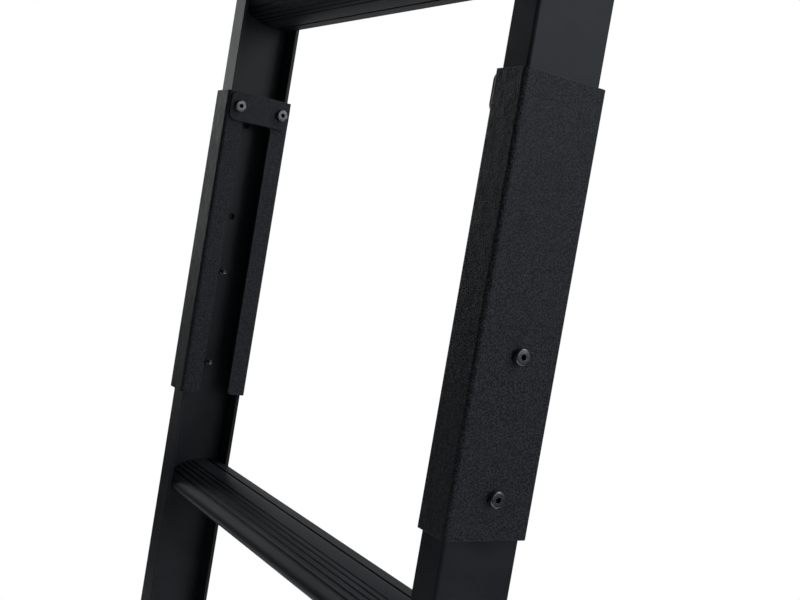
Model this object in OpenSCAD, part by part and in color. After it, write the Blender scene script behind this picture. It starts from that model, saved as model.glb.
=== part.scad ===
// Roof rack ladder in two sections that slip together.
// The lower section carries a pair of lipped sleeves, and the upper section stands in them,
// end to end on the lower one, and lifts out upward.
// X runs along the treads, Y towards what the ladder leans on and Z up the stiles.
// The origin is at the middle of the left foot's sole.

/* [Ladder] */
// Width across the outer faces of the stiles
ladder_w = 295.5; // [260:0.5:450]
// Spacing of the treads, middle to middle
tread_pitch = 300; // [280:1:330]

/* [Stile] */
// Depth of the channel, front to back
stile_d = 38; // [34:0.5:50]
// Width of the channel's flanges, outer face of the web to the free edge
stile_w = 15.5; // [14:0.5:24]
// Wall of the channel
stile_t = 2; // [1.6:0.1:3]
// Radius of the channel's outer corners
stile_r = 1.5; // [0.4:0.1:1.8]

/* [Tread] */
// Height of the tread at its square back
tread_h = 24.7; // [22:0.1:30]
// Flat part of the top and underside, measured from the back
tread_flat = 9; // [8.6:0.1:12]
// Radius of the nose
nose_r = 4.2; // [3:0.1:6]
// Width of the drain groove near the back
drain_w = 1.7; // [1:0.1:2.5]
// Spacing of the grip grooves
grip_pitch = 2.9; // [2.4:0.1:3.2]
// Width of a grip groove
grip_w = 1.4; // [0.8:0.1:1.8]

/* [Sleeve] */
// Length of the sleeve
sleeve_l = 185; // [170:1:260]
// Sheet that the sleeve is folded from
sheet_t = 1.8; // [1.2:0.1:2.5]
// Clearance between sleeve and stile on every side
slip = 0.4; // [0.2:0.05:0.6]
// Width of each lip, from the sleeve's side face
lip_w = 11.7; // [10:0.1:13]
// Radius of the lips' corners and of the mouth's gusset
lip_r = 2.4; // [1:0.1:3]

/* [Strap] */
// Height of the strap across the sleeve's mouth
strap_h = 17.3; // [14:0.1:22]
// Thickness of the strap
strap_t = 2; // [1.5:0.1:3]
// Radius of the strap's corners
strap_r = 4; // [2:0.1:6]

/* [Screws] */
// Thread of every screw
screw_d = 4; // [3:0.5:5]
// Length of the screws through a stile, under the head
screw_l = 8; // [7:0.5:12]
// Distance of the first hole from a stile's end
hole_end = 17.5; // [12:0.5:25]
// Spacing of the two holes at a stile's end
hole_pitch = 57.5; // [40:0.5:70]

/* [Ends] */
// Thickness of the foot's sole
sole_t = 5; // [3:0.5:10]
// Depth of stile that a foot covers
foot_grip = 11; // [8:0.5:11]
// Wall of the foot round the stile
foot_wall = 3; // [2:0.5:5]
// Thickness of the hook's plate
hook_t = 5; // [3:0.5:6]
// Width of the rail that fits in the hook, front to back
rail_gap = 45; // [30:1:60]
// Height of the hook's arm
arm_h = 24; // [16:1:32]
// Drop of the hook's lip below its seat
lip_drop = 34; // [25:1:50]

/* [Hidden] */
$fn = 48;

// Each section is as long as its treads' bays, with a tread midway in each bay
treads_per_section = 3;
section_l = treads_per_section * tread_pitch;
// Distance between the middles of the stiles
span = ladder_w - stile_w;
// Heights of the sections' ends
seam_z = sole_t + section_l;
top_z = seam_z + section_l;
// Faces of the left stile, seen from its middle
web_out = -stile_w / 2;
web_in = web_out + stile_t;
edge_x = stile_w / 2;
half_d = stile_d / 2;
half_in = half_d - stile_t;
// Faces of the left sleeve, and the radius inside its folds
fold_in = 0.3;
sleeve_out = web_out - slip - sheet_t;
lip_in = edge_x + slip;
lip_out = lip_in + sheet_t;
sleeve_half = half_d + slip + sheet_t;
fold_r = sheet_t + fold_in;
mouth_z = seam_z + sleeve_l / 2;
// Strap: its inset from the sleeve's corners, how far its screws show behind the lips, and the
// gap between their tips and the stile
strap_inset = 1.7;
strap_tip = 2;
tip_gap = 1;
strap_z = mouth_z - strap_h;
strap_half = sleeve_half - strap_inset;
strap_hole_y = half_in - screw_d / 2 - tip_gap;
lip_edge = sleeve_half - lip_w;
// Arcs that carry the tread's top and underside down to the nose, which they meet without an edge
crown_l = 2 * half_in - tread_flat;
crown_r = (crown_l * crown_l - 2 * nose_r * crown_l + tread_h * tread_h / 4) / (tread_h - 2 * nose_r);
crown_y = half_in - tread_flat;
crown_z = crown_r - tread_h / 2;
nose_y = nose_r - half_in;
tangent_y = crown_y - (crown_y - nose_y) * crown_r / (crown_r - nose_r);
// Middle of the drain groove, and of the first grip groove in front of the plain band
drain_y = half_in - 7.25;
drain_depth = 1.2;
grip_y = half_in - 18.15;
// Socket head and tip of the screws, all in step with the thread, and their clearance holes
head_d = 1.75 * screw_d;
head_h = screw_d;
head_edge = 0.12 * screw_d;
socket_d = 0.75 * screw_d / cos(30);
socket_depth = screw_d / 2;
screw_tip = 0.15 * screw_d;
clear_d = screw_d + 0.5;
// Grooves across the foot's sole
groove_w = 3;
groove_depth = 1.5;
groove_pitch = 9;
// Hook: seat above the stile's end, gap behind the stile, and the leg's fit in the channel
seat_z = top_z + 12;
hook_back = half_d + 3;
hook_leg = half_in - 2;
hook_foot = hole_end + hole_pitch + 12;
// Depth of the hook's lip, and the radius of its corners
hook_lip = 14;
hook_r = 5;
// Rubber saddle on the hook
pad_t = 4;
pad_w = hook_t + 6;

// Depth and height of a point on the tread's top, above the tread's middle
function crown(y) = y > crown_y ? tread_h / 2 : sqrt(crown_r * crown_r - pow(crown_y - y, 2)) - crown_z;
// Middle of a tread, counted from 0 at the bottom
function tread_z(i) = sole_t + tread_pitch * (i + 0.5);

// Turns an outline in Y and Z into a plate or bar along X
module along_x(from, to) {
    translate([from, 0, 0]) rotate([90, 0, 90]) linear_extrude(to - from) children();
}

// Puts a piece of the left side on the right side
module on_right() {
    translate([span, 0, 0]) mirror([1, 0, 0]) children();
}

// Rectangle between two corners, with round corners
module rounded(from, to, r) {
    translate([from.x + r, from.y]) square([to.x - from.x - 2 * r, to.y - from.y]);
    translate([from.x, from.y + r]) square([to.x - from.x, to.y - from.y - 2 * r]);
    for (x = [from.x + r, to.x - r], y = [from.y + r, to.y - r]) translate([x, y]) circle(r);
}

// Outline of the stile: a channel that opens towards the treads
module stile_outline() {
    difference() {
        intersection() {
            rounded([web_out, -half_d], [edge_x + stile_r, half_d], stile_r);
            translate([web_out, -half_d]) square([stile_w, stile_d]);
        }
        translate([web_in, -half_in]) square([stile_w, 2 * half_in]);
    }
}

// Left stile of one section, with two holes through the web near each of the listed ends
module stile(bottom, drilled) {
    color("#2b2d30") difference() {
        translate([0, 0, bottom]) linear_extrude(section_l) stile_outline();
        for (z = [hole_end, hole_end + hole_pitch], end = drilled)
            translate([web_out - 1, 0, bottom + (end == "low" ? z : section_l - z)])
                rotate([0, 90, 0]) cylinder(h = stile_t + 2, d = screw_d);
    }
}

// Outline of the tread: square at the back, arcs above and below, round nose in front
module tread_outline() {
    translate([crown_y, -tread_h / 2]) square([tread_flat, tread_h]);
    intersection() {
        translate([crown_y, -crown_z]) circle(crown_r, $fn = 200);
        translate([crown_y, crown_z]) circle(crown_r, $fn = 200);
        translate([tangent_y, -tread_h / 2]) square([crown_y - tangent_y, tread_h]);
    }
    translate([nose_y, 0]) circle(nose_r);
}

// Drain groove near the back and grip grooves towards the nose, on the top and the underside
module tread_grooves() {
    for (side = [1, -1]) {
        translate([drain_y, side * tread_h / 2]) square([drain_w, 2 * drain_depth], center = true);
        for (y = [grip_y:-grip_pitch:nose_y - 0.2]) translate([y, side * crown(y)]) circle(d = grip_w);
    }
}

// One tread between the stiles' webs
module tread(i) {
    color("#26282b") translate([0, 0, tread_z(i)]) along_x(web_in, span - web_in)
        difference() {
            tread_outline();
            tread_grooves();
        }
}

// Outline of the sleeve: a lipped channel round the stile
module sleeve_outline() {
    difference() {
        rounded([sleeve_out, -sleeve_half], [lip_out, sleeve_half], fold_r);
        rounded([web_out - slip, -half_d - slip], [lip_in, half_d + slip], fold_r - sheet_t);
        translate([0, -lip_edge]) square([stile_w, 2 * lip_edge]);
    }
}

// Corner left over when a circle rounds a square corner; the corner points to +Y and +Z
module corner_waste(r) {
    difference() {
        square(r + 1);
        circle(r);
    }
}

// Left sleeve, folded from sheet, with a tab at its mouth under the strap
module sleeve() {
    low_z = mouth_z - sleeve_l;
    color("#222326") {
        difference() {
            translate([0, 0, low_z]) linear_extrude(sleeve_l) sleeve_outline();
            for (z = [hole_end, hole_end + hole_pitch])
                translate([sleeve_out - 1, 0, seam_z - z])
                    rotate([0, 90, 0]) cylinder(h = sheet_t + 2, d = clear_d);
            for (y = [strap_hole_y, -strap_hole_y])
                translate([lip_in - 1, y, strap_z + strap_h / 2])
                    rotate([0, 90, 0]) cylinder(h = sheet_t + 2, d = screw_d);
            for (side = [0, 1])
                mirror([0, side, 0]) translate([0, lip_edge + lip_r, low_z + lip_r])
                    along_x(lip_in - 1, lip_out + 1) rotate(180) corner_waste(lip_r);
        }
        along_x(lip_in, lip_out) translate([-lip_edge, strap_z]) square([2 * lip_edge, strap_h]);
        along_x(lip_in, lip_out) translate([lip_edge - lip_r, strap_z - lip_r]) corner_web(lip_r);
    }
}

// Fillet between the rear lip and the tab above it
module corner_web(r) {
    difference() {
        square(r);
        circle(r);
    }
}

// Left strap: a plate with round corners across both lips
module strap() {
    color("#242528") difference() {
        along_x(lip_out, lip_out + strap_t)
            rounded([-strap_half, strap_z], [strap_half, mouth_z], strap_r);
        for (y = [strap_hole_y, -strap_hole_y])
            translate([lip_out - 1, y, strap_z + strap_h / 2])
                rotate([0, 90, 0]) cylinder(h = strap_t + 2, d = clear_d);
    }
}

// Socket-head screw along +X, with its head's seat at x = 0 and its head at x < 0
module screw(length) {
    color("#5a5d62") difference() {
        rotate([0, 90, 0]) rotate_extrude() screw_outline(length);
        translate([-head_h - 1, 0, 0])
            rotate([0, 90, 0]) cylinder(h = 1 + socket_depth, d = socket_d, $fn = 6);
    }
}

// Half outline of the screw, turned about its axis: head with a broken edge, shank, chamfered tip
module screw_outline(length) {
    head_r = head_d / 2;
    shank_r = screw_d / 2;
    polygon([
        [0, -head_h], [head_r - head_edge, -head_h], [head_r, head_edge - head_h], [head_r, 0],
        [shank_r, 0], [shank_r, length - screw_tip], [shank_r - screw_tip, length], [0, length]
    ]);
}

// Screws that hold the left sleeve to the lower stile
module sleeve_screws() {
    for (z = [hole_end, hole_end + hole_pitch]) translate([sleeve_out, 0, seam_z - z]) screw(screw_l);
}

// Screws that hold the left strap to the sleeve's lips
module strap_screws() {
    for (y = [strap_hole_y, -strap_hole_y])
        translate([lip_out + strap_t, y, strap_z + strap_h / 2])
            mirror([1, 0, 0]) screw(strap_t + sheet_t + strap_tip);
}

// Left foot: a cap pressed over the stile's end, with grooves across its sole
module foot() {
    outer = [edge_x + foot_wall, half_d + foot_wall];
    color("#17181a") difference() {
        linear_extrude(sole_t + foot_grip) rounded(-outer, outer, foot_wall);
        translate([0, 0, sole_t]) linear_extrude(foot_grip + 1) stile_outline();
        for (i = [-1.5:1.5])
            translate([-outer.x - 1, i * groove_pitch - groove_w / 2, -1])
                cube([2 * outer.x + 2, groove_w, 1 + groove_depth]);
    }
}

// Outline of the hook: a leg in the channel, an arm over the rail and a lip behind it
module hook_outline() {
    lip_y = hook_back + rail_gap;
    arm_z = seat_z + arm_h;
    difference() {
        union() {
            rounded([-hook_leg, top_z - hook_foot], [hook_leg, arm_z], hook_r);
            rounded([-hook_leg, top_z], [hook_back, arm_z], 1);
            rounded([-hook_leg, seat_z], [lip_y + hook_lip, arm_z], hook_r);
            rounded([lip_y, seat_z - lip_drop], [lip_y + hook_lip, arm_z], hook_r);
        }
        translate([-hook_leg + hook_r, arm_z - hook_r]) rotate(90) corner_waste(hook_r);
    }
}

// Left hook, bolted against the inside of the upper stile's web
module hook() {
    color("#222326") difference() {
        along_x(web_in, web_in + hook_t) hook_outline();
        for (z = [hole_end, hole_end + hole_pitch])
            translate([web_in - 1, 0, top_z - z]) rotate([0, 90, 0]) cylinder(h = hook_t + 2, d = screw_d);
    }
}

// Screws that hold the left hook, put in from outside
module hook_screws() {
    for (z = [hole_end, hole_end + hole_pitch]) translate([web_out, 0, top_z - z]) screw(screw_l);
}

// Rubber saddle on the hook's seat, gripping both faces of the plate
module hook_pad() {
    middle = web_in + hook_t / 2;
    color("#17181a") difference() {
        along_x(middle - pad_w / 2, middle + pad_w / 2)
            translate([hook_back, seat_z - pad_t]) square([rail_gap, pad_t + arm_h / 2]);
        along_x(web_in, web_in + hook_t) hook_outline();
    }
}

stile(sole_t, ["high"]);  // lower_stile_left
on_right() stile(sole_t, ["high"]);  // lower_stile_right
stile(seam_z, ["low", "high"]);  // upper_stile_left
on_right() stile(seam_z, ["low", "high"]);  // upper_stile_right
tread(0);  // tread_1
tread(1);  // tread_2
tread(2);  // tread_3
tread(3);  // tread_4
tread(4);  // tread_5
tread(5);  // tread_6
sleeve();  // sleeve_left
on_right() sleeve();  // sleeve_right
strap();  // strap_left
on_right() strap();  // strap_right
sleeve_screws();  // sleeve_screws_left
on_right() sleeve_screws();  // sleeve_screws_right
strap_screws();  // strap_screws_left
on_right() strap_screws();  // strap_screws_right
foot();  // foot_left
on_right() foot();  // foot_right
hook();  // hook_left
on_right() hook();  // hook_right
hook_screws();  // hook_screws_left
on_right() hook_screws();  // hook_screws_right
hook_pad();  // hook_pad_left
on_right() hook_pad();  // hook_pad_right
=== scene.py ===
# %% [markdown]
# # Dressing a two-section ladder
# The ladder comes from CAD as a fixed frame: channel stiles, grooved treads, folded sleeves, straps,
# hooks, feet and screws, each in its own mesh. The bars and sheet parts stay as they are. What they
# lack is what makes metal look like metal: a coat with grain, and edges that are not knife sharp. The
# screws and rubber parts are small and plain, so they are modelled again, with threads and soft
# corners, and stand in for the CAD's. This lesson adds all that, one step at a time.

# %% Load the frame
import math

import bmesh
import bpy
from mathutils import Matrix, Vector


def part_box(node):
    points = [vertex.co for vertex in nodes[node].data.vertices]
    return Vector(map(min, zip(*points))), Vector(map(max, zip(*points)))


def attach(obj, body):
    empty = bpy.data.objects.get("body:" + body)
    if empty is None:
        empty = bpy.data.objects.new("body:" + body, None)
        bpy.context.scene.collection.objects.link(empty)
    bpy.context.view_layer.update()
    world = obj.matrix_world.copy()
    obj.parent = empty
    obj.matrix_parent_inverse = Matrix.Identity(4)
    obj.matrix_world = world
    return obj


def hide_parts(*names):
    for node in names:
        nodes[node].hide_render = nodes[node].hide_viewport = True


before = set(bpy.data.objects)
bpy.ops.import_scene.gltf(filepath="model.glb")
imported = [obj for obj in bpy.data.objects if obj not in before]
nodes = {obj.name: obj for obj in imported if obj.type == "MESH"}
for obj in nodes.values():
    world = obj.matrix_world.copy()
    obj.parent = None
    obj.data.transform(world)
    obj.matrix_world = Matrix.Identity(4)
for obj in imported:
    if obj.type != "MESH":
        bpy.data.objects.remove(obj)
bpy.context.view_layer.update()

MM = 0.001

# %% [markdown]
# ## The camera
# The portrait is a close view of the joint between the two sections, taken from the right and a
# little above, with the camera rolled so that the upright ladder leans in the picture. A camera
# can be aimed with angles, but three directions read off the picture are more exact: where it
# looks, what is to its right, and, from those two, what is up.

# %% Camera
picture_w = 800
camera_place = Vector((0.60613, -0.26908, 0.92299))
camera_looks = Vector((-0.83306, 0.55072, -0.05207)).normalized()
camera_right = Vector((0.5363, 0.82713, 0.16803)).normalized()
camera_up = camera_right.cross(camera_looks)
focal_px = 1048.93

camera_data = bpy.data.cameras.new("portrait_camera")
camera_data.sensor_width = 36
camera_data.lens = camera_data.sensor_width * focal_px / picture_w
camera_data.clip_start = 0.02
camera = bpy.data.objects.new("portrait_camera", camera_data)
bpy.context.scene.collection.objects.link(camera)
turned = Matrix((camera_right, camera_up, -camera_looks)).transposed().to_4x4()
camera.matrix_world = Matrix.Translation(camera_place) @ turned
bpy.context.scene.camera = camera
print("lens, mm:", round(camera_data.lens, 2))

# %% [markdown]
# ## The studio
# The object is black on white, which is the hard case. Black metal shows little colour of its own
# and mostly mirrors the room, so the room is what gives it its shape. Three things make up this
# room. A white paper sweep stands behind the ladder, where the camera looks. Soft lamps stand to the
# right, above and to the left. The rest is a dim room. The white is made in the world's own nodes and
# not with a lamp, so it throws no light on the object. The camera sees it everywhere, and mirror
# images show it only where the sweep stands, because metal in front of white paper shows that paper.

# %% Node helpers
def new_node(tree, kind, **values):
    """A shader node with its settings, and its inputs by name"""
    node = tree.nodes.new(kind)
    for name, value in values.items():
        if name in node.inputs:
            node.inputs[name].default_value = value
        else:
            setattr(node, name, value)
    return node


def feed(tree, source, node, place):
    """Puts a value into one input of a node: a link where it comes from a node, else a number"""
    if isinstance(source, bpy.types.NodeSocket):
        tree.links.new(source, node.inputs[place])
    else:
        node.inputs[place].default_value = source


def calculate(tree, operation, *values):
    """One step of arithmetic between sockets and numbers"""
    node = new_node(tree, "ShaderNodeMath", operation=operation)
    for place, value in enumerate(values):
        feed(tree, value, node, place)
    return node.outputs[0]


def fade(tree, value, start, end):
    """0 where the value is at start, 1 where it is at end, and soft in between"""
    node = new_node(tree, "ShaderNodeMapRange", interpolation_type="SMOOTHSTEP")
    node.inputs["From Min"].default_value, node.inputs["From Max"].default_value = start, end
    feed(tree, value, node, "Value")
    return node.outputs["Result"]


# %% The sweep's place
sweep_toward = Vector((camera_looks.x, camera_looks.y, 0)).normalized()
sweep_half_width = math.radians(55)
sweep_bottom, sweep_top = math.radians(-8), math.radians(14)
# Where the soft edges start and end, as shares of the angles above
side_edge, top_edge, bottom_edge = (1.1, 0.9), (1.5, 0.5), (1.7, 0.3)


def behind_ladder(tree, direction):
    """1 for a direction towards the sweep and 0 for any other, whatever its height"""
    facing = new_node(tree, "ShaderNodeVectorMath", operation="DOT_PRODUCT")
    tree.links.new(direction, facing.inputs[0])
    facing.inputs[1].default_value = sweep_toward
    start, end = (math.cos(share * sweep_half_width) for share in side_edge)
    return fade(tree, facing.outputs["Value"], start, end)


# %% World
scene = bpy.context.scene
scene.view_settings.view_transform = "Standard"
# Brightness of the dim room, as light on the ladder and as metal mirrors it
room_level = 0.14
mirror_level = 0.03
room_tint, paper_white = (0.92, 0.96, 1.0, 1), (1, 1, 1, 1)

world = bpy.data.worlds.new("studio")
world.use_nodes = True
scene.world = world
tree = world.node_tree
tree.nodes.clear()
rays = new_node(tree, "ShaderNodeLightPath")
direction = new_node(tree, "ShaderNodeTexCoord").outputs["Generated"]
upward = new_node(tree, "ShaderNodeSeparateXYZ")
tree.links.new(direction, upward.inputs[0])
below_top = fade(tree, upward.outputs["Z"], *(math.sin(share * sweep_top) for share in top_edge))
above_bottom = fade(tree, upward.outputs["Z"], *(math.sin(share * sweep_bottom) for share in bottom_edge))
in_height = calculate(tree, "MULTIPLY", below_top, above_bottom)
paper = calculate(tree, "MULTIPLY", behind_ladder(tree, direction), in_height)
mirrored = calculate(tree, "MAXIMUM", rays.outputs["Is Glossy Ray"], rays.outputs["Is Transmission Ray"])
seen = calculate(tree, "MAXIMUM", rays.outputs["Is Camera Ray"], calculate(tree, "MULTIPLY", mirrored, paper))
dim = new_node(tree, "ShaderNodeBackground", Color=room_tint)
feed(tree, calculate(tree, "MULTIPLY_ADD", mirrored, mirror_level - room_level, room_level), dim, "Strength")
white = new_node(tree, "ShaderNodeBackground", Color=paper_white, Strength=1)
either = new_node(tree, "ShaderNodeMixShader")
sky = new_node(tree, "ShaderNodeOutputWorld")
tree.links.new(seen, either.inputs[0])
tree.links.new(dim.outputs[0], either.inputs[1])
tree.links.new(white.outputs[0], either.inputs[2])
tree.links.new(either.outputs[0], sky.inputs[0])
print("sweep, degrees wide:", round(2 * math.degrees(sweep_half_width)),
      "from", round(math.degrees(sweep_bottom)), "to", round(math.degrees(sweep_top)))

# %% [markdown]
# A lamp's level here is the brightness of its face, and its power follows from that and from its
# size. The level is right when a white card, held where the ladder stands and turned to the camera,
# renders a little below white. Three of the lamps are fill lamps. They lift the dark sides but would
# show as hard white boxes in the satin coat, so they are hidden from mirror images.

# %% Lamps
joint_middle = Vector((0.14, 0, 0.905))
lamp_distance = 2.4
cool, slightly_cool = (0.82, 0.93, 1.0), (0.88, 0.95, 1.0)
slightly_green, plain_white = (0.95, 1.0, 0.99), (1.0, 1.0, 1.0)
# Name, azimuth and elevation in degrees from the joint's middle, width, height, level, colour, and
# whether metal mirrors the lamp
lamps = [
    ("high_right_box", 60, 48, 1.6, 1.4, 2.8, cool, True),
    ("right_box", 36, 14, 1.7, 1.2, 1.2, slightly_cool, True),
    ("far_right_box", 8, 14, 1.2, 1.2, 0.85, plain_white, True),
    ("left_box", 184, 18, 1.2, 1.6, 1.85, slightly_green, True),
    ("high_left_box", 176, 42, 1.2, 1.0, 1.9, cool, True),
    ("high_fill", 60, 62, 2.0, 2.0, 2.0, plain_white, False),
    ("right_fill", 10, 5, 2.0, 2.0, 1.7, plain_white, False),
    ("left_fill", 180, 14, 2.0, 2.0, 0.8, plain_white, False),
]
for name, azimuth, elevation, width, height, level, tint, in_mirrors in lamps:
    a, e = math.radians(azimuth), math.radians(elevation)
    toward = Vector((math.cos(a) * math.cos(e), math.sin(a) * math.cos(e), math.sin(e)))
    light = bpy.data.lights.new(name, "AREA")
    light.shape = "RECTANGLE"
    light.size, light.size_y = width, height
    light.color = tint
    light.energy = level * math.pi * width * height
    lamp = bpy.data.objects.new(name, light)
    turned = toward.to_track_quat("Z", "Y").to_matrix().to_4x4()
    lamp.matrix_world = Matrix.Translation(joint_middle + toward * lamp_distance) @ turned
    lamp.visible_camera = False
    lamp.visible_glossy = lamp.visible_transmission = in_mirrors
    scene.collection.objects.link(lamp)
print("lamps:", [name for name, *_ in lamps])

# %% [markdown]
# ## The floor
# The floor is pale and matt, and takes the ladder's shadow round its feet. Further out the camera
# sees it turn to the white of the background, so that no horizon shows. Metal mirrors the same
# change on the side where the sweep stands, and the plain, shaded floor everywhere else.

# %% Floor
floor_radius = 1.6
# Distances from the middle at which the floor starts to turn white and has turned white
white_from, white_at = 0.6, 1.5
pale_grey = (0.8, 0.8, 0.8, 1)
bpy.ops.object.select_all(action="DESELECT")
bpy.ops.mesh.primitive_circle_add(vertices=64, radius=floor_radius, fill_type="NGON")
floor = bpy.context.object
floor.name = "floor"
paint = bpy.data.materials.new("pale_floor")
paint.use_nodes = True
tree = paint.node_tree
tree.nodes.clear()
matt = new_node(tree, "ShaderNodeBsdfDiffuse", Color=pale_grey)
glow = new_node(tree, "ShaderNodeEmission", Color=paper_white, Strength=1)
place = new_node(tree, "ShaderNodeTexCoord")
away = new_node(tree, "ShaderNodeVectorMath", operation="LENGTH")
tree.links.new(place.outputs["Object"], away.inputs[0])
toward = new_node(tree, "ShaderNodeVectorMath", operation="NORMALIZE")
tree.links.new(place.outputs["Object"], toward.inputs[0])
rays = new_node(tree, "ShaderNodeLightPath")
mirrored = calculate(tree, "MAXIMUM", rays.outputs["Is Glossy Ray"], rays.outputs["Is Transmission Ray"])
behind = calculate(tree, "MULTIPLY", mirrored, behind_ladder(tree, toward.outputs[0]))
seen = calculate(tree, "MAXIMUM", rays.outputs["Is Camera Ray"], behind)
turned_white = calculate(tree, "MULTIPLY", seen, fade(tree, away.outputs["Value"], white_from, white_at))
mix = new_node(tree, "ShaderNodeMixShader")
out = new_node(tree, "ShaderNodeOutputMaterial")
tree.links.new(turned_white, mix.inputs[0])
tree.links.new(matt.outputs[0], mix.inputs[1])
tree.links.new(glow.outputs[0], mix.inputs[2])
tree.links.new(mix.outputs[0], out.inputs[0])
floor.data.materials.append(paint)
print("floor, m across:", 2 * floor_radius)

# %% [markdown]
# ## Hand tools
# New pieces are modelled as by hand: add a primitive, go into edit mode, pick faces or edges, and
# use an operator on them. Operators act on everything that is selected, so each step starts with
# nothing selected and then picks by place. These small helpers do only that, so the steps below
# read like the moves of a person at the keyboard.

# %% Hand tools
# How well a face's direction agrees with an axis where the face counts as facing along it
clearly_facing = 0.99


def deselect_all():
    """Leaves nothing selected, so that the next operator acts on its own piece only"""
    bpy.ops.object.select_all(action="DESELECT")


def take(piece):
    """Makes a piece the only selected and the active one"""
    deselect_all()
    piece.select_set(True)
    bpy.context.view_layer.objects.active = piece


def pick(piece, kind, wanted):
    """In edit mode, selects the faces or edges of a piece for which wanted(middle, directions) is true"""
    bpy.ops.mesh.select_mode(type="FACE" if kind == "faces" else "EDGE")
    bpy.ops.mesh.select_all(action="DESELECT")
    mesh = bmesh.from_edit_mesh(piece.data)
    mesh.normal_update()
    for part in mesh.faces if kind == "faces" else mesh.edges:
        middle = sum((v.co for v in part.verts), Vector()) / len(part.verts)
        directions = [part.normal] if kind == "faces" else [f.normal for f in part.link_faces]
        part.select_set(wanted(middle, directions))
    mesh.select_flush_mode()
    bmesh.update_edit_mesh(piece.data)


def apply_modifier(piece, kind, **settings):
    """Adds a modifier to a piece and applies it"""
    take(piece)
    modifier = piece.modifiers.new(kind.lower(), kind)
    for name, value in settings.items():
        setattr(modifier, name, value)
    bpy.ops.object.modifier_apply(modifier=modifier.name)


def cut(piece, cutter):
    """Takes the cutter's shape away from a piece, and then the cutter itself"""
    apply_modifier(piece, "BOOLEAN", operation="DIFFERENCE", solver="EXACT", object=cutter)
    bpy.data.objects.remove(cutter)


def settle(piece):
    """Puts a piece's place, turn and size into its mesh, so that its object sits at the origin"""
    take(piece)
    bpy.ops.object.transform_apply(location=True, rotation=True, scale=True)


# %% [markdown]
# ## One socket-head screw
# Twelve screws hold the ladder together, and their heads are the brightest things on it. The CAD
# screw is a turned shape with a plain hexagon socket. A real one also has a rounded rim, a cone that
# the drill left under the socket, a thread, and a small cup in its tip. The head and shank grow out
# of one cylinder by bevel, inset and extrude. The socket is a Boolean cut, because a hexagon does not
# fit the cylinder's own vertices. The thread is a small triangle that the Screw modifier winds round
# the core, the same way that a lathe cuts it.

# %% Screw blank
# The screw's sizes are in step with its thread, and near is the slack for picking by place
screw_d = 4 * MM
cad_head_h = screw_d
head_r, head_h = 0.875 * screw_d, 0.7 * screw_d
head_rim, head_chamfer = 0.175 * screw_d, 0.05 * screw_d
core_r = 0.41 * screw_d
tip_l, tip_share = 0.15 * screw_d, 0.72
cup_rim, cup_depth, cup_share = 0.06 * screw_d, 0.08 * screw_d, 0.35
quarter_turn = math.radians(90)
near = 0.01 * MM


def screw_blank(length):
    """Head, core and tip along +X, with the head's seat at x = 0"""
    deselect_all()
    bpy.ops.mesh.primitive_cylinder_add(
        vertices=48, radius=head_r, depth=head_h, location=(-head_h / 2, 0, 0),
        rotation=(0, quarter_turn, 0))
    blank = bpy.context.object
    settle(blank)
    bpy.ops.object.mode_set(mode="EDIT")
    pick(blank, "edges", lambda middle, _: abs(middle.x + head_h) < near and middle.length > head_h)
    bpy.ops.mesh.bevel(offset=head_rim, segments=5)
    pick(blank, "edges", lambda middle, sides: abs(middle.x) < near and len(sides) == 2)
    bpy.ops.mesh.bevel(offset=head_chamfer, segments=1)
    pick(blank, "faces", lambda middle, sides: sides[0].x > clearly_facing)
    bpy.ops.mesh.inset(thickness=head_r - head_chamfer - core_r)
    bpy.ops.mesh.extrude_region_move(TRANSFORM_OT_translate={"value": (length - tip_l, 0, 0)})
    bpy.ops.mesh.extrude_region_move(TRANSFORM_OT_translate={"value": (tip_l, 0, 0)})
    bpy.ops.transform.resize(value=(1, tip_share, tip_share))
    bpy.ops.mesh.inset(thickness=cup_rim)
    bpy.ops.mesh.extrude_region_move(TRANSFORM_OT_translate={"value": (-cup_depth, 0, 0)})
    bpy.ops.transform.resize(value=(1, cup_share, cup_share))
    bpy.ops.object.mode_set(mode="OBJECT")
    return blank


# %% [markdown]
# The socket gets a material slot of its own, because its dark film is never rubbed off, and because
# that film is made darker and duller still as painted shade in the recess. Both slots hold empty
# materials for now. Their nodes come further down, with the other finishes.

# %% Socket and thread
steel_finish = bpy.data.materials.new("worn_screw_steel")
socket_film_and_shade_finish = bpy.data.materials.new("socket_black_film_and_painted_shade")
socket_key = 0.625 * screw_d
socket_r = socket_key / 2 / math.cos(math.radians(30))
socket_depth = 0.42 * screw_d
cone_inset, cone_depth, cone_point = 0.08 * socket_r, 0.4 * socket_r, 0.1
thread_pitch = 0.7 * MM
# The ridge's triangle: its size, its width as a share of that, and the place of its first turn
thread_r, thread_share, thread_start = 0.55 * thread_pitch, 0.8, 0.6 * thread_pitch
bare_tip = 0.2 * screw_d
# Vertices this close are one
touching = 0.001 * MM


def cut_socket(blank):
    """Hexagon socket with the drill's cone at its bottom"""
    deselect_all()
    bpy.ops.mesh.primitive_cylinder_add(
        vertices=6, radius=socket_r, depth=2 * socket_depth, location=(-head_h, 0, 0),
        rotation=(0, quarter_turn, 0))
    cutter = bpy.context.object
    settle(cutter)
    bpy.ops.object.mode_set(mode="EDIT")
    pick(cutter, "faces", lambda middle, sides: sides[0].x > clearly_facing)
    bpy.ops.mesh.inset(thickness=cone_inset)
    bpy.ops.mesh.extrude_region_move(TRANSFORM_OT_translate={"value": (cone_depth, 0, 0)})
    bpy.ops.transform.resize(value=(1, cone_point, cone_point))
    bpy.ops.object.mode_set(mode="OBJECT")
    cut(blank, cutter)
    blank.data.materials.append(steel_finish)
    blank.data.materials.append(socket_film_and_shade_finish)
    for face in blank.data.polygons:
        across = math.hypot(face.center.y, face.center.z)
        in_socket = across < socket_r + near and -head_h + near < face.center.x < 0
        face.material_index = 1 if in_socket else 0


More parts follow.
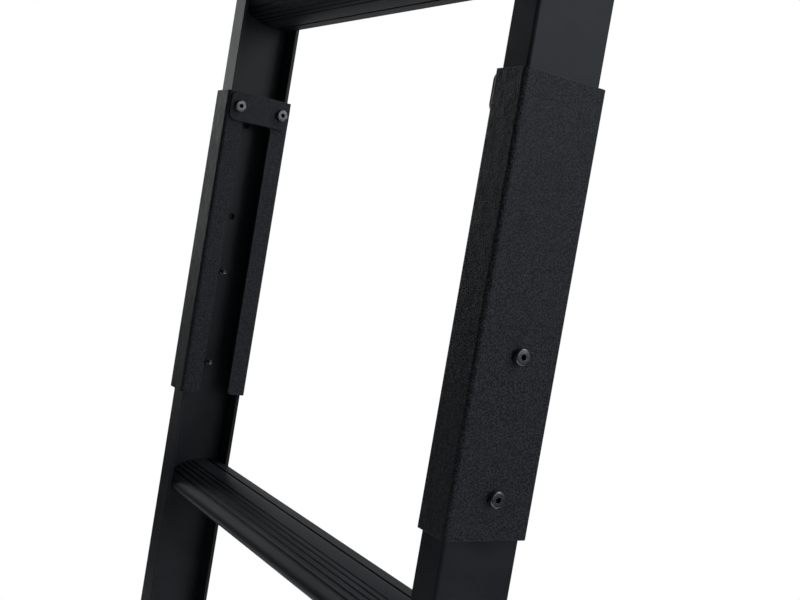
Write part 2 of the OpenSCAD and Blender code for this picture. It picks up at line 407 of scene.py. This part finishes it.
def wind_thread(blank, length):
    """A triangular ridge wound round the core, from the seat to the tip"""
    turns = int((length - bare_tip) / thread_pitch) - 1
    deselect_all()
    bpy.ops.mesh.primitive_circle_add(vertices=3, radius=thread_r, fill_type="NOTHING")
    ridge = bpy.context.object
    bpy.ops.transform.resize(value=(thread_share, 1, 1))
    bpy.ops.transform.translate(value=(thread_start, screw_d / 2 - thread_r, 0))
    settle(ridge)
    apply_modifier(ridge, "SCREW", axis="X", screw_offset=thread_pitch, iterations=turns, steps=24,
                   render_steps=24, use_smooth_shade=False)
    bpy.ops.object.mode_set(mode="EDIT")
    bpy.ops.mesh.select_all(action="SELECT")
    bpy.ops.mesh.remove_doubles(threshold=touching)
    bpy.ops.mesh.fill_holes(sides=3)
    bpy.ops.mesh.normals_make_consistent(inside=False)
    bpy.ops.object.mode_set(mode="OBJECT")
    apply_modifier(blank, "BOOLEAN", operation="UNION", solver="EXACT", object=ridge)
    bpy.data.objects.remove(ridge)


def make_screw(length):
    """One finished screw, its length measured under the head"""
    blank = screw_blank(length)
    cut_socket(blank)
    wind_thread(blank, length)
    return blank


# Lengths under the head: the long screws hold the sleeves and hooks, the short ones the straps
long_screw, short_screw = make_screw(8 * MM), make_screw(5.8 * MM)
for screw in (long_screw, short_screw):
    mesh = bmesh.new()
    mesh.from_mesh(screw.data)
    open_edges = sum(not edge.is_manifold for edge in mesh.edges)
    mesh.free()
    print("screw, mm with its head:", round(screw.dimensions.x / MM, 2),
          "faces:", len(screw.data.polygons), "open edges:", open_edges)

# %% [markdown]
# ## The screws in their places
# A CAD node holds two screws, so its box gives both places: the screws stand at the two ends of the
# box, half a head in. Each place gets a copy of the modelled screw with its own mesh. A fitter never
# leaves two sockets at the same angle, so every copy is turned a little differently about its own
# axis before it is set in. The modelled head is lower than the CAD's, as it is in the picture, so the
# CAD's head height is used only to find the seat.

# %% Screws in place
# Degrees between the sockets of a pair, and the angle under which a screw's faces shade as one
turn_between = 23
screw_smooth_angle = math.radians(32)


def set_screws(name, pattern, toward, body, first_turn):
    """Two copies of a screw where a CAD node has them; toward is +1 or -1, the way the tips point"""
    low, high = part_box(name)
    seat = low.x + cad_head_h if toward > 0 else high.x - cad_head_h
    # The pair is spread along the box's longer side and stands in the middle of the shorter one
    ends = Vector((0, head_r, head_r))
    along = max((1, 2), key=lambda axis: high[axis] - low[axis])
    ends[3 - along] = (high[3 - along] - low[3 - along]) / 2
    pair = []
    for number, corner in enumerate((low + ends, high - ends)):
        copy = pattern.copy()
        copy.data = pattern.data.copy()
        bpy.context.scene.collection.objects.link(copy)
        roll = Matrix.Rotation(math.radians(first_turn + turn_between * number), 4, "X")
        face = Matrix.Rotation(0 if toward > 0 else math.pi, 4, "Z")
        copy.matrix_world = Matrix.Translation((seat, corner.y, corner.z)) @ face @ roll
        pair.append(copy)
    take(pair[0])
    pair[1].select_set(True)
    bpy.ops.object.join()
    piece = bpy.context.object
    settle(piece)
    bpy.ops.object.shade_smooth_by_angle(angle=screw_smooth_angle)
    piece.name = piece.data.name = name.replace("screws", "socket_screws")
    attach(piece, body)
    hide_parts(name)
    return piece


screws = [
    set_screws("sleeve_screws_left", long_screw, 1, "lower_section", 4),
    set_screws("sleeve_screws_right", long_screw, -1, "lower_section", 17),
    set_screws("strap_screws_left", short_screw, -1, "lower_section", 9),
    set_screws("strap_screws_right", short_screw, 1, "lower_section", 31),
    set_screws("hook_screws_left", long_screw, 1, "upper_section", 12),
    set_screws("hook_screws_right", long_screw, -1, "upper_section", 26),
]
for pattern in (long_screw, short_screw):
    bpy.data.objects.remove(pattern)
print("screw pieces:", [piece.name for piece in screws])

# %% [markdown]
# ## Rubber feet and hook pads
# A moulded rubber part never has a sharp edge, because rubber won't fill one and the mould wears.
# Each starts as a cube of the CAD part's size. Its corners and rims are bevelled, and the metal that
# it grips is then cut out of it. The metal part is itself the best cutter: a copy of its mesh,
# merged, cuts a pocket that fits it exactly.

# %% Rubber blocks
foot_corner, pad_corner, rubber_rim = 3 * MM, 1.5 * MM, 0.8 * MM
rubber_smooth_angle = math.radians(40)


def rubber_block(name, low, high, corner, axis):
    """A block between two places, with round corners along one axis and soft rims round its ends"""
    def is_end(side):
        return abs(side[axis]) > clearly_facing

    deselect_all()
    bpy.ops.mesh.primitive_cube_add(size=1, location=(low + high) / 2)
    block = bpy.context.object
    bpy.ops.transform.resize(value=high - low)
    settle(block)
    block.name = block.data.name = name
    bpy.ops.object.mode_set(mode="EDIT")
    pick(block, "edges", lambda middle, sides: not any(is_end(side) for side in sides))
    bpy.ops.mesh.bevel(offset=corner, segments=5)
    pick(block, "edges", lambda middle, sides: len({is_end(side) for side in sides}) == 2)
    bpy.ops.mesh.bevel(offset=rubber_rim, segments=3)
    bpy.ops.object.mode_set(mode="OBJECT")
    return block


def merged_copy(node):
    """A copy of a CAD node's mesh with its loose triangles joined, for use as a cutter"""
    copy = nodes[node].copy()
    copy.data = nodes[node].data.copy()
    copy.parent = None
    bpy.context.scene.collection.objects.link(copy)
    take(copy)
    bpy.ops.object.mode_set(mode="EDIT")
    bpy.ops.mesh.select_all(action="SELECT")
    bpy.ops.mesh.remove_doubles(threshold=touching)
    bpy.ops.object.mode_set(mode="OBJECT")
    return copy


def finish_rubber(piece, node, body):
    """Smooths a rubber piece and puts it in the place of its CAD node"""
    take(piece)
    bpy.ops.object.shade_smooth_by_angle(angle=rubber_smooth_angle)
    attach(piece, body)
    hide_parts(node)
    print(piece.name, "faces:", len(piece.data.polygons),
          "size, mm:", [round(c / MM, 1) for c in piece.dimensions])


# %% Feet
groove_w, groove_depth, groove_pitch = 3 * MM, 1.5 * MM, 9 * MM
feet = []
for side in ("left", "right"):
    low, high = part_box("foot_" + side)
    foot = rubber_block("rubber_foot_" + side, low, high, foot_corner, axis=2)
    cut(foot, merged_copy("lower_stile_" + side))
    for step in (-1.5, -0.5, 0.5, 1.5):
        deselect_all()
        bpy.ops.mesh.primitive_cube_add(size=1, location=((low.x + high.x) / 2, step * groove_pitch, low.z))
        bar = bpy.context.object
        bpy.ops.transform.resize(value=(2 * (high.x - low.x), groove_w, 2 * groove_depth))
        settle(bar)
        cut(foot, bar)
    finish_rubber(foot, "foot_" + side, "lower_section")
    feet.append(foot)

# %% Hook pads
pads = []
for side in ("left", "right"):
    low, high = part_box("hook_pad_" + side)
    pad = rubber_block("rubber_hook_pad_" + side, low, high, pad_corner, axis=1)
    cut(pad, merged_copy("hook_" + side))
    finish_rubber(pad, "hook_pad_" + side, "upper_section")
    pads.append(pad)

# %% [markdown]
# ## Effects that the finishes share
# Four small effects do most of the work, so each is a node group that is built once and placed, with
# its own numbers, in each material that needs it. The patterns read Object coordinates, which are
# metres here, so a pattern has its true size and stays on its part when the sections are pulled apart.

# %% Group maker
def new_group(name, inputs, outputs):
    """An empty node group; inputs are (name, value) and outputs are (name, kind of socket)"""
    group = bpy.data.node_groups.new(name, "ShaderNodeTree")
    for label, value in inputs:
        kind = "NodeSocketVector" if isinstance(value, tuple) else "NodeSocketFloat"
        group.interface.new_socket(name=label, in_out="INPUT", socket_type=kind).default_value = value
    for label, kind in outputs:
        group.interface.new_socket(name=label, in_out="OUTPUT", socket_type=kind)
    return group, group.nodes.new("NodeGroupInput"), group.nodes.new("NodeGroupOutput")


# %% [markdown]
# Powder coat is a melted dust. It sets with rounded grains a little under a millimetre across, on a
# ground that is itself faintly wavy. One fine noise and one broad noise give the height for a bump.
# The grains' tops also come out as a mask. The powder coat uses it to paint the tops bright and the
# hollows dark, as painted highlight and painted shade; other finishes lay dust on the tops or roughen them.

# %% Coat grain
# How much broader and higher the waves are than the grains, and the heights between which the
# mask goes from a grain's foot to its top
waves_broader, waves_higher = 7.0, 1.6
top_from, top_at = 0.38, 0.66

grain, given, gives = new_group("coat_grain", [("Grain mm", 0.7)],
                                [("Height", "NodeSocketFloat"), ("Fleck", "NodeSocketFloat")])
place = new_node(grain, "ShaderNodeTexCoord")
per_metre = calculate(grain, "DIVIDE", 1000.0, given.outputs["Grain mm"])
fine = new_node(grain, "ShaderNodeTexNoise", Detail=2.0, Roughness=0.5)
broad = new_node(grain, "ShaderNodeTexNoise", Detail=1.0)
for noise, scale in ((fine, per_metre), (broad, calculate(grain, "DIVIDE", per_metre, waves_broader))):
    grain.links.new(place.outputs["Object"], noise.inputs["Vector"])
    grain.links.new(scale, noise.inputs["Scale"])
height = calculate(grain, "MULTIPLY_ADD", broad.outputs[0], waves_higher, fine.outputs[0])
grain.links.new(height, gives.inputs["Height"])
grain.links.new(fade(grain, fine.outputs[0], top_from, top_at), gives.inputs["Fleck"])

# %% [markdown]
# Extruded aluminium carries die lines: hairlines that run the whole length of the bar, because a die
# that is scratched draws the same line for metres. The coat softens them but does not hide them. A
# noise that is stretched along the bar gives them, and the stretch says which way the bar runs.

# %% Die lines
# Lines per metre across a bar and along it
across_bar, along_bar = 900.0, 5.0
stile_lines = (across_bar, across_bar, along_bar)
tread_lines = (along_bar, across_bar, across_bar)

drawn, given, gives = new_group("die_lines", [("Lines per metre", stile_lines)],
                                [("Line", "NodeSocketFloat")])
place = new_node(drawn, "ShaderNodeTexCoord")
stretched = new_node(drawn, "ShaderNodeVectorMath", operation="MULTIPLY")
drawn.links.new(place.outputs["Object"], stretched.inputs[0])
drawn.links.new(given.outputs["Lines per metre"], stretched.inputs[1])
hair = new_node(drawn, "ShaderNodeTexNoise", Scale=1.0, Detail=3.0, Roughness=0.6)
drawn.links.new(stretched.outputs[0], hair.inputs["Vector"])
drawn.links.new(hair.outputs[0], gives.inputs["Line"])

# %% [markdown]
# Hands, shoes and cloths leave patches that are a few centimetres across, where the coat is a
# little smoother or a little dustier. They are too faint to see as spots, but without them a large
# face looks like plastic film.

# %% Handling patches
# Values of the cloud between which a patch fades in
patch_from, patch_at = 0.36, 0.64
handled, given, gives = new_group("handling_patches", [("Patch mm", 40.0)],
                                  [("Patch", "NodeSocketFloat")])
place = new_node(handled, "ShaderNodeTexCoord")
cloud = new_node(handled, "ShaderNodeTexNoise", Detail=4.0, Roughness=0.6, Distortion=0.8)
handled.links.new(place.outputs["Object"], cloud.inputs["Vector"])
handled.links.new(calculate(handled, "DIVIDE", 1000.0, given.outputs["Patch mm"]), cloud.inputs["Scale"])
handled.links.new(fade(handled, cloud.outputs[0], patch_from, patch_at), gives.inputs["Patch"])

# %% [markdown]
# No sheet or bar has a knife edge. The Bevel node rounds the light on an edge without touching the
# CAD mesh, and the angle between the rounded and the true direction of the surface tells how near
# the edge is. That makes a mask for the coat's thin, rubbed edge.

# %% Soft edges
# Agreement of the two directions at which the edge begins and at which it is full
edge_from, edge_at = 0.995, 0.90
eased, given, gives = new_group("soft_edges", [("Radius mm", 0.4)],
                                [("Normal", "NodeSocketVector"), ("Edge", "NodeSocketFloat")])
rounding = new_node(eased, "ShaderNodeBevel", samples=6)
eased.links.new(calculate(eased, "MULTIPLY", given.outputs["Radius mm"], MM), rounding.inputs["Radius"])
surface = new_node(eased, "ShaderNodeNewGeometry")
agree = new_node(eased, "ShaderNodeVectorMath", operation="DOT_PRODUCT")
eased.links.new(rounding.outputs["Normal"], agree.inputs[0])
eased.links.new(surface.outputs["Normal"], agree.inputs[1])
eased.links.new(rounding.outputs["Normal"], gives.inputs["Normal"])
eased.links.new(fade(eased, agree.outputs["Value"], edge_from, edge_at), gives.inputs["Edge"])


# %% Finish helpers
def place_group(tree, group, **values):
    """A node group set into a material, with its own numbers"""
    node = tree.nodes.new("ShaderNodeGroup")
    node.node_tree = group
    for name, value in values.items():
        node.inputs[name.replace("_", " ")].default_value = value
    return node.outputs


def blend_colour(tree, mask, below, above):
    """A colour that goes from one to the other as the mask goes from 0 to 1"""
    mix = new_node(tree, "ShaderNodeMix", data_type="RGBA")
    feed(tree, mask, mix, "Factor")
    for label, colour in (("A", below), ("B", above)):
        socket = next(s for s in mix.inputs if s.name == label and s.type == "RGBA")
        if isinstance(colour, bpy.types.NodeSocket):
            tree.links.new(colour, socket)
        else:
            socket.default_value = colour
    return next(s for s in mix.outputs if s.type == "RGBA")


def bump(tree, height, depth, normal=None):
    """Relief of a given depth in metres over a surface"""
    node = new_node(tree, "ShaderNodeBump", Distance=depth)
    tree.links.new(height, node.inputs["Height"])
    if normal is not None:
        tree.links.new(normal, node.inputs["Normal"])
    return node.outputs["Normal"]


def new_finish(name, specular, metallic=0.0):
    """A material with its shader's plain settings on their own sockets"""
    finish = bpy.data.materials.get(name) or bpy.data.materials.new(name)
    finish.use_nodes = True
    shader = finish.node_tree.nodes["Principled BSDF"]
    shader.inputs["Specular IOR Level"].default_value = specular
    shader.inputs["Metallic"].default_value = metallic
    return finish, finish.node_tree, shader


# %% [markdown]
# ## The bars' satin coat
# Stiles and treads are extrusions with a thin satin coat. Its colour is nearly black and slightly
# blue. What the eye reads is the sheen, so most of the work is in the roughness, which changes with
# the handling patches and with the die lines. The edges are rounded and a touch paler, where a coat
# is always thinnest. Stiles and treads get the same recipe with their lines turned the way each bar
# was drawn. The treads are a little duller, because shoes have scuffed them.

# %% Bar coats
# A share is how far a colour takes over where its mask is full
clean_satin, dusty_satin = (0.0096, 0.0108, 0.0132, 1), (0.0132, 0.0146, 0.0172, 1)
thin_satin, thin_satin_share = (0.022, 0.023, 0.025, 1), 0.5
patch_roughness, line_roughness = 0.06, 0.08
peel_depth, line_depth = 0.016 * MM, 0.010 * MM


def bar_coat(name, lines, roughness, specular):
    """Satin black with its die lines along the bar, and a roughness that stays near the given one"""
    finish, tree, shader = new_finish(name, specular)
    edges = place_group(tree, eased, Radius_mm=0.4)
    line = place_group(tree, drawn, Lines_per_metre=lines)["Line"]
    patch = place_group(tree, handled, Patch_mm=45.0)["Patch"]
    peel = place_group(tree, grain, Grain_mm=1.1)
    coat = blend_colour(tree, patch, clean_satin, dusty_satin)
    coat = blend_colour(tree, calculate(tree, "MULTIPLY", edges["Edge"], thin_satin_share), coat, thin_satin)
    tree.links.new(coat, shader.inputs["Base Color"])
    smoothest = roughness - (patch_roughness + line_roughness) / 2
    gloss = calculate(tree, "MULTIPLY_ADD", patch, patch_roughness, smoothest)
    tree.links.new(calculate(tree, "MULTIPLY_ADD", line, line_roughness, gloss), shader.inputs["Roughness"])
    relief = bump(tree, peel["Height"], peel_depth, edges["Normal"])
    tree.links.new(bump(tree, line, line_depth, relief), shader.inputs["Normal"])
    return finish


stile_finish = bar_coat("stile_satin_black", stile_lines, roughness=0.36, specular=0.25)
tread_finish = bar_coat("tread_satin_black", tread_lines, roughness=0.48, specular=0.20)
print("bar coats:", stile_finish.name, tread_finish.name)

# %% [markdown]
# ## The sheet parts' powder coat
# Sleeves, straps and hooks are folded or cut from steel sheet and powder coated, which is thicker
# and grainier than the bars' coat. The grain is what the close view shows: a fine speckle that is
# brighter where a grain's side faces the light. So here the bump is strong, and the fleck mask paints
# the grain tops bright and the hollows dark, as painted highlight and painted shade. The edges are
# rounded more, because powder draws back from a sharp edge and builds up beside it.

# %% Powder coat
# Painted shade in the grain's hollows and painted highlight on the grain's tops
painted_shade_valley, painted_highlight_top = (0.0030, 0.0034, 0.0048, 1), (0.0225, 0.0238, 0.0285, 1)
thin_powder, thin_powder_share = (0.024, 0.025, 0.027, 1), 0.4
powder_smoothest, patch_adds, top_adds = 0.47, 0.05, 0.08
grain_depth = 0.16 * MM

powder_finish, tree, shader = new_finish("powder_coat_black", specular=0.25)
edges = place_group(tree, eased, Radius_mm=0.5)
grains = place_group(tree, grain, Grain_mm=0.7)
patch = place_group(tree, handled, Patch_mm=30.0)["Patch"]
# The fleck mask paints the grain tops bright and the hollows dark: painted highlight and painted shade
coat = blend_colour(tree, grains["Fleck"], painted_shade_valley, painted_highlight_top)
coat = blend_colour(tree, calculate(tree, "MULTIPLY", edges["Edge"], thin_powder_share), coat, thin_powder)
tree.links.new(coat, shader.inputs["Base Color"])
gloss = calculate(tree, "MULTIPLY_ADD", patch, patch_adds, powder_smoothest)
tree.links.new(calculate(tree, "MULTIPLY_ADD", grains["Fleck"], top_adds, gloss), shader.inputs["Roughness"])
tree.links.new(bump(tree, grains["Height"], grain_depth, edges["Normal"]), shader.inputs["Normal"])
print("powder coat:", powder_finish.name)

# %% [markdown]
# ## Steel screws
# The screws are plain steel under a thin dark film that wears off the rim first. Their colour comes
# from the metal's own reflection, so metallic is 1 and the base colour is the brightness of that
# reflection. The socket keeps its black film, because nothing rubs it but the key, and that film is
# made near black and dull as painted shade in the recess.

# %% Screw steel
dull_steel, clear_steel = (0.14, 0.14, 0.145, 1), (0.20, 0.20, 0.205, 1)
rubbed_steel, rubbed_share = (0.38, 0.38, 0.385, 1), 0.6
steel_smoothest, speck_adds = 0.30, 0.12
speck_depth = 0.01 * MM

steel_finish, tree, shader = new_finish(steel_finish.name, specular=0.5, metallic=1.0)
edges = place_group(tree, eased, Radius_mm=0.12)
speck = place_group(tree, grain, Grain_mm=0.35)
stain = place_group(tree, handled, Patch_mm=3.0)["Patch"]
steel = blend_colour(tree, stain, dull_steel, clear_steel)
steel = blend_colour(tree, calculate(tree, "MULTIPLY", edges["Edge"], rubbed_share), steel, rubbed_steel)
tree.links.new(steel, shader.inputs["Base Color"])
gloss = calculate(tree, "MULTIPLY_ADD", speck["Fleck"], speck_adds, steel_smoothest)
tree.links.new(gloss, shader.inputs["Roughness"])
tree.links.new(bump(tree, speck["Height"], speck_depth, edges["Normal"]), shader.inputs["Normal"])
print("screw steel:", steel_finish.name)

# %% Socket film
# The socket's black oxide film, made near black and dull as painted shade in the recess
black_film_and_painted_shade, film_dust = (0.004, 0.004, 0.004, 1), (0.012, 0.012, 0.012, 1)
film_smoothest, dust_adds = 0.7, 0.1

socket_film_and_shade_finish, tree, shader = new_finish(socket_film_and_shade_finish.name, specular=0.08)
speck = place_group(tree, grain, Grain_mm=0.3)
film = blend_colour(tree, speck["Fleck"], black_film_and_painted_shade, film_dust)
tree.links.new(film, shader.inputs["Base Color"])
gloss = calculate(tree, "MULTIPLY_ADD", speck["Fleck"], dust_adds, film_smoothest)
tree.links.new(gloss, shader.inputs["Roughness"])
print("socket film:", socket_film_and_shade_finish.name)

# %% [markdown]
# ## Black rubber
# Moulded rubber is matt and carries the mould's fine blasted texture. A pale bloom and some floor
# dust gather in patches, which lift the black a little and make it duller still.

# %% Rubber
clean_rubber, bloomed_rubber = (0.0125, 0.0125, 0.0125, 1), (0.0165, 0.0163, 0.0160, 1)
dusty_rubber, dusty_share = (0.035, 0.034, 0.033, 1), 0.35
rubber_smoothest, bloom_adds = 0.62, 0.12
blast_depth = 0.03 * MM

rubber_finish, tree, shader = new_finish("moulded_rubber_black", specular=0.3)
edges = place_group(tree, eased, Radius_mm=0.3)
texture = place_group(tree, grain, Grain_mm=0.5)
bloom = place_group(tree, handled, Patch_mm=18.0)["Patch"]
rubber = blend_colour(tree, bloom, clean_rubber, bloomed_rubber)
rubber = blend_colour(tree, calculate(tree, "MULTIPLY", texture["Fleck"], dusty_share), rubber, dusty_rubber)
tree.links.new(rubber, shader.inputs["Base Color"])
gloss = calculate(tree, "MULTIPLY_ADD", bloom, bloom_adds, rubber_smoothest)
tree.links.new(gloss, shader.inputs["Roughness"])
tree.links.new(bump(tree, texture["Height"], blast_depth, edges["Normal"]), shader.inputs["Normal"])
print("rubber:", rubber_finish.name)

# %% [markdown]
# ## Finishes onto their parts
# Each CAD part comes with one slot, named in the record after what it is made of. A finish goes onto
# a CAD part through that slot, so the part itself is not touched. The rubber pieces are new, so their
# own slots are emptied and filled. The screws already hold their two finishes.

# %% Finishes in their slots
finishes = {
    "stile_black": stile_finish, "tread_black": tread_finish, "sleeve_powder_coat": powder_finish,
    "screw_steel": steel_finish, "foot_rubber": rubber_finish,
}
for part in nodes.values():
    for slot in part.material_slots:
        slot.material = finishes[slot.material.name]
for piece in screws:
    print(piece.name, [slot.material.name for slot in piece.material_slots],
          "socket faces:", sum(face.material_index == 1 for face in piece.data.polygons))
for piece in feet + pads:
    piece.data.materials.clear()
    piece.data.materials.append(rubber_finish)
print("finishes:", [finish.name for finish in finishes.values()])
